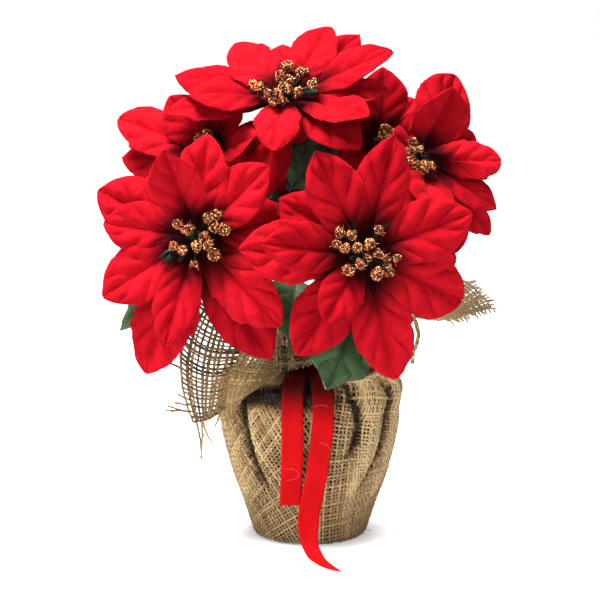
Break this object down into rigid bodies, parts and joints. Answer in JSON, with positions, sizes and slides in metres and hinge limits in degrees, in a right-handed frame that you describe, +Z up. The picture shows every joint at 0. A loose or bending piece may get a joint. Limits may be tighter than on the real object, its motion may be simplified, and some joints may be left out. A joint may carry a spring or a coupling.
{
  "type": "artificial poinsettia in a burlap-wrapped pot",
  "caption": "Artificial poinsettia bush: velvet blooms on a branched stem, standing in a weighted pot that is wrapped in gathered burlap and tied with a ribbon.",
  "frame": {"origin": "the middle of the flat base, on the surface that the pot stands on", "axes": "+Z up, -Y towards the front where the ribbon's tails hang, +X to the right as seen from the front"},
  "size_m": [0.2271, 0.184, 0.293],
  "materials": {
    "pot": "dark brown moulded plastic, hidden under the burlap",
    "filler": "rough pale set filler that weights the pot",
    "burlap": "natural tan jute, open plain weave, frayed free edges",
    "ribbon": "bright red woven ribbon with a soft sheen",
    "stem": "dark green moulded plastic over wire",
    "bract": "red velvet with pressed veins and pale cut edges",
    "cyathia": "bronze and gold glitter beads on dark green stalks",
    "leaf": "green cloth with pressed veins and pale cut edges"
  },
  "bodies": {
    "root": {"pot": "pot", "filler": "filler", "burlap_wrap": "burlap", "ribbon": "ribbon", "stems": "stem", "bloom_top_cup": "stem", "bloom_top_lower_bracts": "bract", "bloom_top_upper_bracts": "bract", "bloom_top_cyathia": "cyathia", "bloom_left_cup": "stem", "bloom_left_lower_bracts": "bract", "bloom_left_upper_bracts": "bract", "bloom_left_cyathia": "cyathia", "bloom_right_cup": "stem", "bloom_right_lower_bracts": "bract", "bloom_right_upper_bracts": "bract", "bloom_right_cyathia": "cyathia", "bloom_far_left_cup": "stem", "bloom_far_left_lower_bracts": "bract", "bloom_far_left_upper_bracts": "bract", "bloom_far_left_cyathia": "cyathia", "bloom_far_right_cup": "stem", "bloom_far_right_lower_bracts": "bract", "bloom_far_right_upper_bracts": "bract", "bloom_far_right_cyathia": "cyathia", "bloom_back_right_cup": "stem", "bloom_back_right_lower_bracts": "bract", "bloom_back_right_upper_bracts": "bract", "bloom_back_right_cyathia": "cyathia", "bloom_back_cup": "stem", "bloom_back_lower_bracts": "bract", "bloom_back_upper_bracts": "bract", "bloom_back_cyathia": "cyathia", "leaf_front": "leaf", "leaf_middle": "leaf", "leaf_low_left": "leaf", "leaf_shaded": "leaf", "leaf_high_right": "leaf", "leaf_right": "leaf", "leaf_left": "leaf", "leaf_back_low": "leaf", "leaf_back_high": "leaf"}
  },
  "joints": []
}
